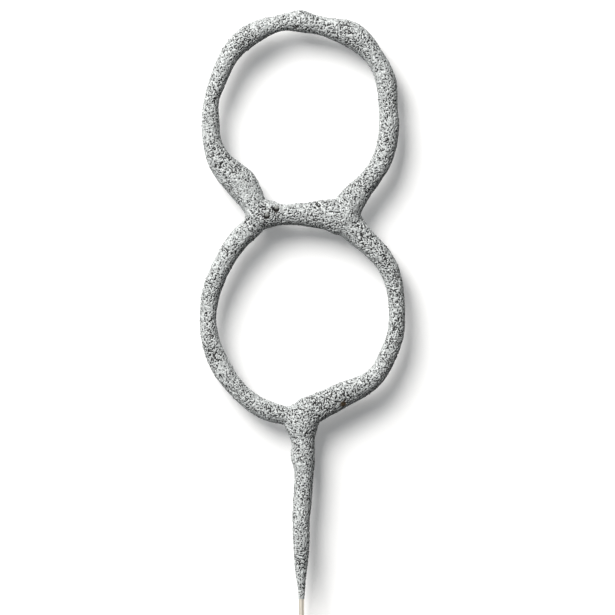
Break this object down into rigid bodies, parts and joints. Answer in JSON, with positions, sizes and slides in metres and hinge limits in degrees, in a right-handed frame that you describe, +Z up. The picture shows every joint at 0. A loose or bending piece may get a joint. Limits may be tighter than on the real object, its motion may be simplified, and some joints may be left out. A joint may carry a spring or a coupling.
{
  "type": "number sparkler",
  "caption": "Cake sparkler in the shape of a figure eight: a bent steel wire dipped in grey burning mix, with a bare wire end to push into a cake.",
  "frame": {"origin": "on the wire's axis at the coat's lower end, where the sparkler meets the top of a cake", "axes": "+Z up the stem, the figure lies in the XZ plane, its front faces -Y"},
  "size_m": [0.0457, 0.006, 0.1698],
  "materials": {
    "steel_wire": "drawn low-carbon steel wire, dull with faint draw lines",
    "first_dip": "thin dried film of burning mix, matte and gritty",
    "second_dip": "thick dried burning mix, matte, granular, speckled",
    "iron": "dark iron filings"
  },
  "bodies": {
    "root": {"core_wire": "steel_wire", "first_dip_coat": "first_dip", "iron_filings": "iron", "upper_loop_coat": "second_dip", "waist_coat": "second_dip", "lower_left_coat": "second_dip", "lower_right_coat": "second_dip", "stem_coat": "second_dip"}
  },
  "joints": []
}
